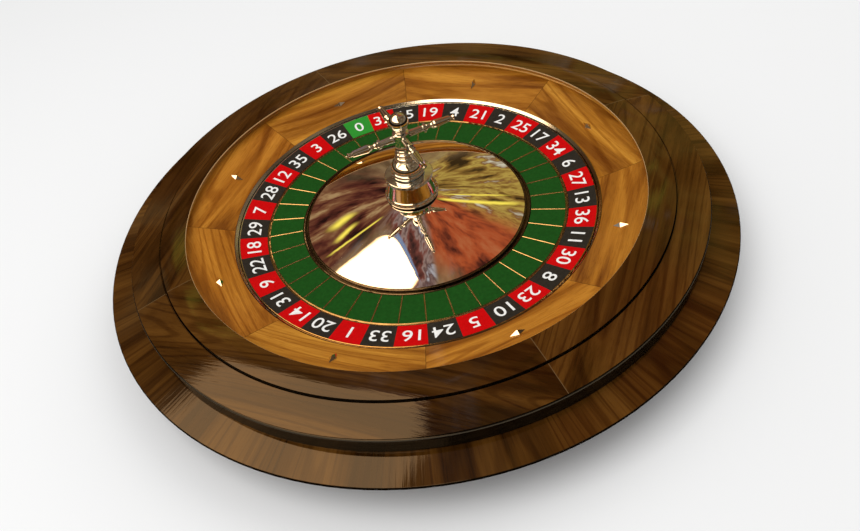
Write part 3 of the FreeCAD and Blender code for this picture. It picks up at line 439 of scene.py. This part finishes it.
def metal(name, light, dark, roughness, coarse=0.03, scale=HAZE_SCALE, ripple=0.0):
    """Metal whose colour and polish vary a little over the surface."""
    material, tree = new_material(name)
    place = tree.place()
    haze = tree.noise(place, scale, 3.0, 0.6)
    colour = tree.ramp(haze, (0.3, light), (0.75, dark))
    polish = tree.spread(tree.noise(place, scale * 4.0, 2.0), 0.3, 0.75, roughness,
                         roughness + coarse)
    inputs = {"Base_Color": colour, "Metallic": 1.0, "Roughness": polish}
    if ripple:
        inputs["Normal"] = tree.bump(tree.noise(place, scale * 0.5, 1.0), ripple)
    tree.principled(**inputs)
    return material


def turned_metal(name, light, dark, roughness):
    """Metal off the lathe, with fine rings round the spindle."""
    material, tree = new_material(name)
    here = tree.polar()
    profile = tree.maths("ADD", here.radius, here.height)
    rings = tree.noise(tree.combine(profile, here.across, here.along), LATHE_SCALE)
    colour = tree.ramp(rings, (0.3, dark), (0.7, light))
    normal = tree.bump(rings, LATHE_DEPTH)
    tree.principled(Base_Color=colour, Metallic=1.0, Roughness=roughness, Normal=normal)
    return material


def footed_chrome():
    """Chrome whose foot, where it stands on the cone, is painted black as shade (painted shade)."""
    material, tree = new_material("turret_base_chrome")
    haze = tree.noise(tree.place(), HAZE_SCALE, 3.0, 0.6)
    colour = tree.ramp(haze, (0.3, TURRET_CHROME), (0.75, TURRET_HAZE))
    # painted shade: black below the foot height, where the base meets the cone
    painted_foot_shade = tree.spread(tree.polar().height, FOOT_HEIGHT, FOOT_HEIGHT + FOOT_FADE, 1.0, 0.0)
    tree.principled(Base_Color=tree.mix(painted_foot_shade, colour, EBONY_AND_PAINTED_SHADE), Metallic=1.0,
                    Roughness=TURRET_ROUGHNESS)
    return material


def tarnished_ring(name, reflection_tone):
    """Bright ring with fine specks, painted brown towards -Y as a reflection of warm wood on that
    side (painted reflection).
    """
    material, tree = new_material(name)
    specks = tree.noise(tree.place(), SPECK_SCALE, 3.0, 0.6)
    uneven = tree.maths("ADD", tree.polar().along, tree.maths("MULTIPLY", specks, SPECK_SHARE))
    painted_reflection_share = tree.spread(uneven, *PAINTED_REFLECTION_RANGE, 1.0, 0.0)
    # painted reflection: brown towards -Y, bright towards +Y
    tree.principled(Base_Color=tree.mix(painted_reflection_share, RING_CHROME, reflection_tone), Metallic=1.0,
                    Roughness=RING_ROUGHNESS, Normal=tree.bump(specks, SPECK_DEPTH))
    return material


def enamel(name, tone, deep, roughness=0.38, specular=0.12):
    """Flat enamel with a faint mottle and orange peel."""
    material, tree = new_material(name)
    place = tree.place()
    mottle = tree.noise(place, MOTTLE_SCALE, 3.0, 0.6)
    colour = tree.ramp(mottle, (0.35, deep), (0.65, tone))
    normal = tree.bump(tree.noise(place, PEEL_SCALE, 2.0), ENAMEL_PEEL)
    tree.principled(Base_Color=colour, Roughness=roughness, Specular_IOR_Level=specular,
                    Normal=normal)
    return material


def felt(name, tone, deep):
    material, tree = new_material(name)
    fuzz = tree.noise(tree.place(), FUZZ_SCALE, 4.0, 0.7)
    colour = tree.ramp(fuzz, (0.3, deep), (0.7, tone))
    normal = tree.bump(fuzz, FELT_NAP)
    tree.principled(Base_Color=colour, Roughness=0.95, Normal=normal, Sheen_Weight=0.4,
                    Sheen_Roughness=0.5)
    return material


# ---------------------------------------------------------------------------------------------
# What each CAD node is made of
# ---------------------------------------------------------------------------------------------
def dress(material, *names):
    """Give CAD nodes their material."""
    for name in names:
        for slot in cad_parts[name].material_slots:
            slot.material = material


def numbered(stem, count):
    return [f"{stem}_{number}" for number in range(1, count + 1)]


def dress_bowl():
    dress(flange_walnut(), "flange_ring")
    dress(bowl_walnut(), "bowl_wall")
    dress(ebonised_wood(), "rim_riser")
    for number in range(1, RIM_QUARTERS + 1):
        dress(rim_walnut(number), f"rim_segment_{number}")
    dress(track_wood(), "ball_track")
    for number in range(1, APRON_SEGMENTS + 1):
        dress(apron_wood(number), f"apron_segment_{number}")
    dress(felt("green_felt", **GREEN_FELT), "base_felt")
    dress(board_wood("base_plywood", **PLYWOOD), "base_board")
    chrome = metal("deflector_chrome", CHROME, CHROME_HAZE, roughness=0.05)
    dress(chrome, *numbered("rim_deflector", DEFLECTORS), *numbered("cross_deflector", DEFLECTORS))
    dress(tarnished_ring("well_trim", WELL_PAINTED_REFLECTION), "well_ring")


def dress_workings():
    dress(metal("screw_steel", **STEEL, roughness=0.25), "base_screws", "spindle_bolts",
          "hub_bolts")
    dress(turned_metal("turned_steel", **STEEL, roughness=0.28), "spindle", "bearing_spacer",
          "spindle_washer", "spindle_nut", "rotor_hub")
    bearing = metal("bearing_steel", **BEARING_STEEL, roughness=0.08)
    brass = turned_metal("cage_brass", **CAGE_BRASS, roughness=0.3)
    for level in ("lower", "upper"):
        dress(bearing, f"{level}_inner_race", f"{level}_outer_race", f"{level}_balls")
        dress(brass, f"{level}_cage")


def dress_rotor():
    dress(board_wood("rotor_board", **LAMINATE), "rotor_disc")
    dress(turned_metal("carrier_aluminium", **ALUMINIUM, roughness=0.3), "number_ring")
    dress(enamel("red_enamel", **RED_ENAMEL), "red_panels")
    dress(enamel("black_enamel", **BLACK_ENAMEL), "black_panels")
    dress(enamel("green_enamel", **GREEN_ENAMEL), "zero_panel")
    dress(enamel("pocket_enamel", **POCKET_ENAMEL), "pocket_ring")
    dress(tarnished_ring("number_trim", NUMBER_PAINTED_REFLECTION), "outer_trim_ring")
    dress(metal("gilt", **GILT, roughness=0.20), "pocket_frets")
    dress(metal("middle_trim", **MIDDLE_TRIM, roughness=0.26), "middle_trim_ring")
    dress(metal("inner_trim", **INNER_TRIM, roughness=0.20), "inner_trim_ring")
    dress(metal("cone_mirror", CHROME, CONE_HAZE, **CONE_POLISH), "cone")
    turret = metal("turret_chrome", TURRET_CHROME, TURRET_HAZE, TURRET_ROUGHNESS)
    dress(turret, "turret_dome", "turret_neck", "arm_hub", "turret_arms", "finial")
    dress(footed_chrome(), "turret_base")


# ---------------------------------------------------------------------------------------------
# Numerals
# ---------------------------------------------------------------------------------------------
NUMERAL_EM = 0.0256
NUMERAL_WIDTH = 1.09
NUMERAL_WEIGHT = 0.00012
NUMERAL_PROUD = 0.00008
NUMERAL_SUNK = 0.00025
NUMERAL_RADIUS = 0.2172
NUMERAL_STEPS = 4


def numeral_mesh(text):
    """Flat lettering with its centre at the origin, its front at z = 1 and its back at z = -1."""
    curve = bpy.data.curves.new("numeral", "FONT")
    curve.body = text
    curve.size = NUMERAL_EM
    curve.offset = NUMERAL_WEIGHT
    curve.resolution_u = NUMERAL_STEPS
    curve.extrude = 1.0
    carrier = bpy.data.objects.new("numeral", curve)
    bpy.context.scene.collection.objects.link(carrier)
    bpy.context.view_layer.update()
    mesh = bpy.data.meshes.new_from_object(
        carrier.evaluated_get(bpy.context.evaluated_depsgraph_get()))
    bpy.data.objects.remove(carrier)
    bpy.data.curves.remove(curve)
    points = [vertex.co for vertex in mesh.vertices]
    middle_x = (min(p.x for p in points) + max(p.x for p in points)) / 2.0
    middle_y = (min(p.y for p in points) + max(p.y for p in points)) / 2.0
    for point in points:
        point.x = (point.x - middle_x) * NUMERAL_WIDTH
        point.y -= middle_y
    return mesh


def panel_height(radius):
    share = (radius - PANEL_INNER_RADIUS) / (PANEL_OUTER_RADIUS - PANEL_INNER_RADIUS)
    return PANEL_INNER_HEIGHT + share * (PANEL_OUTER_HEIGHT - PANEL_INNER_HEIGHT)


def make_numerals():
    """All numbers as one thin piece that lies on the panels, tops outwards."""
    whole = bmesh.new()
    for cell, number in enumerate(CELL_ORDER):
        mesh = numeral_mesh(str(number))
        azimuth = math.radians(ZERO_AZIMUTH - cell * 360.0 / CELL_COUNT)
        turn = Matrix.Rotation(azimuth - math.pi / 2.0, 4, "Z")
        centre = Vector((math.cos(azimuth), math.sin(azimuth), 0.0)) * NUMERAL_RADIUS
        for vertex in mesh.vertices:
            lift = NUMERAL_PROUD if vertex.co.z > 0.0 else -NUMERAL_SUNK
            flat = Vector((vertex.co.x, vertex.co.y, 0.0))
            place = turn @ flat + centre
            place.z = panel_height(place.xy.length) + lift
            vertex.co = place
        whole.from_mesh(mesh)
        bpy.data.meshes.remove(mesh)
    mesh = bpy.data.meshes.new("numerals")
    whole.to_mesh(mesh)
    whole.free()
    piece = bpy.data.objects.new("numerals", mesh)
    bpy.context.scene.collection.objects.link(piece)
    piece.data.materials.append(enamel("numeral_white", **WHITE_ENAMEL))
    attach(piece, "rotor")


# ---------------------------------------------------------------------------------------------
# Room that polished surfaces see, in degrees of azimuth and elevation
# ---------------------------------------------------------------------------------------------
ROOM_TONES = ((0.32, (0.022, 0.013, 0.007)), (0.44, (0.125, 0.072, 0.034)),
              (0.55, (0.250, 0.160, 0.078)), (0.65, (0.230, 0.205, 0.175)),
              (0.78, (0.520, 0.450, 0.340)))
RED_TONES = ((0.32, (0.050, 0.012, 0.008)), (0.40, (0.190, 0.038, 0.016)),
             (0.50, (0.400, 0.078, 0.024)), (0.63, (0.460, 0.140, 0.052)))
GOLD_TONES = ((0.34, (0.040, 0.022, 0.007)), (0.43, (0.250, 0.135, 0.028)),
              (0.50, (0.470, 0.330, 0.070)), (0.57, (0.210, 0.095, 0.026)),
              (0.66, (0.620, 0.590, 0.450)))
STONE_TONES = ((0.34, (0.030, 0.016, 0.014)), (0.43, (0.170, 0.050, 0.036)),
               (0.50, (0.300, 0.205, 0.175)), (0.56, (0.110, 0.055, 0.048)),
               (0.64, (0.420, 0.400, 0.420)))
MAROON_TONES = ((0.38, (0.018, 0.006, 0.005)), (0.48, (0.100, 0.026, 0.016)),
                (0.57, (0.200, 0.080, 0.036)), (0.66, (0.400, 0.250, 0.115)))
WALLS = (
    {"tones": RED_TONES, "sides": (6.0, 62.0), "ends": (43.0, 76.0)},
    {"tones": GOLD_TONES, "sides": (20.0, 66.0), "ends": (10.0, 46.0)},
    {"tones": STONE_TONES, "sides": (62.0, 100.0), "ends": (46.0, 84.0)},
    {"tones": MAROON_TONES, "sides": (80.0, 122.0), "ends": (12.0, 52.0)},
)
ROOM_SCALE = 3.6
WALL_SCALE = 8.0
WALL_FADE = 5.0
LAMPS = (
    {"sides": (36.0, 46.0), "start": 36.5, "slope": 1.15, "half_width": 1.3},
    {"sides": (40.0, 47.0), "start": 34.0, "slope": 1.10, "half_width": 0.5},
    {"sides": (101.0, 112.0), "start": 49.5, "slope": -0.5, "half_width": 0.5},
    {"sides": (99.0, 104.0), "start": 33.5, "slope": 0.3, "half_width": 1.3},
    {"sides": (103.0, 108.0), "start": 40.5, "slope": 0.2, "half_width": 0.9},
)
LAMP_FADE = 1.5
YELLOW_LAMP = (1.10, 0.90, 0.12)
WAVER = 9.0
WAVER_SCALE = 5.0
SKIRTING = (1.0, 9.0)
UNLIT = (0.014, 0.009, 0.005)
WINDOW_LIGHT = (4.2, 2.60, 1.30)
WINDOW_FRAME = (0.20, 0.26, 0.40)
FRAME_SIDES = (98.0, 101.0)
FRAME_ENDS = (64.0, 77.0)
FRAME_SIDE_FADE = 0.8
FRAME_END_FADE = 2.0
NEAR_LEAN = 0.8  # degrees of azimuth for each degree of elevation
NEAR_LEAN_FROM = 62.0
NEAR_SIDE = (100.6, 101.4)
FAR_LEAN = 0.6
FAR_SIDE = (267.0, 269.0)
SILL_HIGH = 60.0
SILL_FALL_FROM = 101.0
SILL_FALL = 0.62
SILL_LOW = 25.0
SILL_WAVER = 0.4
SILL_FADE = 2.5
WINDOW_TOP = (77.0, 78.0)


def room_colour(tree):
    """A warm room with one tall window and thin yellow lamps."""
    direction = tree.add("ShaderNodeTexCoord").outputs["Generated"]
    split = tree.add("ShaderNodeSeparateXYZ", {0: direction})
    azimuth = tree.maths("DEGREES", tree.maths("ARCTAN2", split.outputs["Y"], split.outputs["X"]))
    elevation = tree.maths("DEGREES", tree.maths("ARCSINE", split.outputs["Z"]))
    waver = tree.maths("MULTIPLY", tree.noise(direction, WAVER_SCALE, 3.0, 0.6), WAVER)
    shift = tree.maths("SUBTRACT", waver, WAVER / 2.0)
    colour = tree.ramp(tree.noise(direction, ROOM_SCALE, 4.0, 0.6, 1.0), *ROOM_TONES)
    for wall in WALLS:
        tones = tree.ramp(tree.noise(direction, WALL_SCALE, 4.0, 0.6, 0.3), *wall["tones"])
        across = tree.zone(tree.maths("ADD", azimuth, shift), *wall["sides"], WALL_FADE)
        upwards = tree.zone(tree.maths("ADD", elevation, shift), *wall["ends"], WALL_FADE)
        colour = tree.mix(tree.maths("MULTIPLY", across, upwards), colour, tones)
    for lamp in LAMPS:
        colour = tree.mix(lamp_mask(tree, azimuth, elevation, **lamp), colour, YELLOW_LAMP)
    colour = tree.mix(tree.spread(elevation, *SKIRTING, 1.0, 0.0), colour, UNLIT)
    return window_on(tree, colour, azimuth, elevation, waver)


def lamp_mask(tree, azimuth, elevation, sides, start, slope, half_width):
    """1 on a thin band that starts at an elevation and climbs with the azimuth."""
    climb = tree.maths("MULTIPLY", tree.maths("SUBTRACT", azimuth, sides[0]), slope)
    level = tree.maths("SUBTRACT", elevation, climb)
    band = tree.zone(level, start - half_width, start + half_width, half_width)
    return tree.maths("MULTIPLY", tree.zone(azimuth, *sides, LAMP_FADE), band)


def window_on(tree, wall, azimuth, elevation, waver):
    """The wall with a window in it, whose near side leans and whose sill falls away."""
    around = tree.maths("FLOORED_MODULO", azimuth, 360.0)
    rise = tree.maths("SUBTRACT", elevation, NEAR_LEAN_FROM)
    near = tree.maths("ADD", around, tree.maths("MULTIPLY", rise, NEAR_LEAN))
    far = tree.maths("ADD", around, tree.maths("MULTIPLY", elevation, FAR_LEAN))
    frame_share = tree.maths("MULTIPLY", tree.zone(near, *FRAME_SIDES, FRAME_SIDE_FADE),
                             tree.zone(elevation, *FRAME_ENDS, FRAME_END_FADE))
    framed = tree.mix(frame_share, wall, WINDOW_FRAME)
    width = tree.maths("MULTIPLY", tree.spread(near, *NEAR_SIDE),
                       tree.spread(far, *FAR_SIDE, 1.0, 0.0))
    drop = tree.maths("MULTIPLY", tree.maths("SUBTRACT", around, SILL_FALL_FROM), SILL_FALL)
    sill = tree.maths("MAXIMUM", tree.maths("SUBTRACT", SILL_HIGH, drop), SILL_LOW)
    uneven = tree.maths("ADD", sill, tree.maths("MULTIPLY", waver, SILL_WAVER))
    above = tree.maths("SUBTRACT", elevation, uneven)
    height = tree.maths("MULTIPLY", tree.spread(above, -SILL_FADE, 0.0),
                        tree.spread(elevation, *WINDOW_TOP, 1.0, 0.0))
    return tree.mix(tree.maths("MULTIPLY", width, height), framed, WINDOW_LIGHT)


# ---------------------------------------------------------------------------------------------
# Studio
# ---------------------------------------------------------------------------------------------
PAPER = (0.93, 0.93, 0.93)
EVEN_LIGHT = (1.0, 0.985, 0.96)
AMBIENT = 0.655
LIGHT_COLOUR = (1.0, 0.975, 0.94)
KEY_LIGHT = {"azimuth": 200.0, "elevation": 62.0, "distance": 3.0, "size": 2.2, "power": 36.0}
FILL_LIGHT = {"azimuth": 20.0, "elevation": 50.0, "distance": 3.0, "size": 2.6, "power": 15.0}
FLOOR_HALF = 12.0
FLOOR_TONE = (0.888, 0.905, 0.930)
FLOOR_SHADE = (0.884, 0.901, 0.926)
FLOOR_SCALE = 3.0


def make_world():
    """Pale paper to the eye, even light on matt surfaces, a warm room in the polished ones."""
    world = bpy.data.worlds.new("studio")
    bpy.context.scene.world = world
    tree = Tree(world)
    path = tree.add("ShaderNodeLightPath").outputs
    even = tree.add("ShaderNodeBackground", {"Color": (*EVEN_LIGHT, 1.0),
                                             "Strength": AMBIENT})
    room = tree.add("ShaderNodeBackground", {"Color": room_colour(tree), "Strength": 1.0})
    paper = tree.add("ShaderNodeBackground", {"Color": (*PAPER, 1.0), "Strength": 1.0})
    lit = tree.add("ShaderNodeMixShader", {0: path["Is Diffuse Ray"], 2: even.outputs[0]})
    seen = tree.add("ShaderNodeMixShader", {0: path["Is Glossy Ray"], 1: lit.outputs[0],
                                            2: room.outputs[0]})
    shown = tree.add("ShaderNodeMixShader", {0: path["Is Camera Ray"], 1: seen.outputs[0],
                                             2: paper.outputs[0]})
    tree.add("ShaderNodeOutputWorld", {"Surface": shown.outputs[0]})


def make_light(name, azimuth, elevation, distance, size, power):
    """Soft square light aimed at the wheel; polished surfaces don't show it."""
    light = bpy.data.lights.new(name, "AREA")
    light.size = size
    light.energy = power
    light.color = LIGHT_COLOUR
    lamp = bpy.data.objects.new(name, light)
    bpy.context.scene.collection.objects.link(lamp)
    lamp.location = on_sphere(azimuth, elevation, distance)
    lamp.rotation_euler = (-lamp.location).to_track_quat("-Z", "Y").to_euler()
    lamp.visible_glossy = False
    lamp.visible_camera = False


def on_sphere(azimuth, elevation, distance):
    flat = distance * math.cos(math.radians(elevation))
    return Vector((flat * math.cos(math.radians(azimuth)), flat * math.sin(math.radians(azimuth)),
                   distance * math.sin(math.radians(elevation))))


def floor_paper():
    material, tree = new_material("paper")
    colour = tree.ramp(tree.noise(tree.place(), FLOOR_SCALE), (0.3, FLOOR_SHADE),
                       (0.7, FLOOR_TONE))
    tree.principled(Base_Color=colour, Roughness=0.9, Specular_IOR_Level=0.0)
    return material


def make_floor():
    mesh = bpy.data.meshes.new("floor")
    corners = [(-FLOOR_HALF, -FLOOR_HALF, 0.0), (FLOOR_HALF, -FLOOR_HALF, 0.0),
               (FLOOR_HALF, FLOOR_HALF, 0.0), (-FLOOR_HALF, FLOOR_HALF, 0.0)]
    mesh.from_pydata(corners, [], [(0, 1, 2, 3)])
    floor = bpy.data.objects.new("floor", mesh)
    bpy.context.scene.collection.objects.link(floor)
    floor.data.materials.append(floor_paper())
    floor.visible_glossy = False


CAMERA_AZIMUTH = 251.95
CAMERA_ELEVATION = 40.619
CAMERA_DISTANCE = 1.0884
CAMERA_TARGET = Vector((0.0, 0.0, PANEL_OUTER_HEIGHT))
CAMERA_YAW = -0.226
CAMERA_PITCH = -4.175
CAMERA_ROLL = 11.136
LENS = 34.454
SENSOR_WIDTH = 36.0
CLIP_START = 0.01


def make_camera():
    data = bpy.data.cameras.new("camera")
    data.lens = LENS
    data.sensor_width = SENSOR_WIDTH
    data.sensor_fit = "HORIZONTAL"
    data.clip_start = CLIP_START
    camera = bpy.data.objects.new("camera", data)
    bpy.context.scene.collection.objects.link(camera)
    offset = on_sphere(CAMERA_AZIMUTH, CAMERA_ELEVATION, CAMERA_DISTANCE)
    aim = (-offset).to_track_quat("-Z", "Y").to_matrix().to_4x4()
    aim = aim @ Matrix.Rotation(math.radians(CAMERA_YAW), 4, "Y")
    aim = aim @ Matrix.Rotation(math.radians(CAMERA_PITCH), 4, "X")
    aim = aim @ Matrix.Rotation(math.radians(-CAMERA_ROLL), 4, "Z")
    camera.matrix_world = Matrix.Translation(CAMERA_TARGET + offset) @ aim
    bpy.context.scene.camera = camera


dress_bowl()
dress_workings()
dress_rotor()
make_numerals()
make_world()
make_light("key_light", **KEY_LIGHT)
make_light("fill_light", **FILL_LIGHT)
make_floor()
make_camera()
bpy.context.scene.view_settings.view_transform = "Standard"
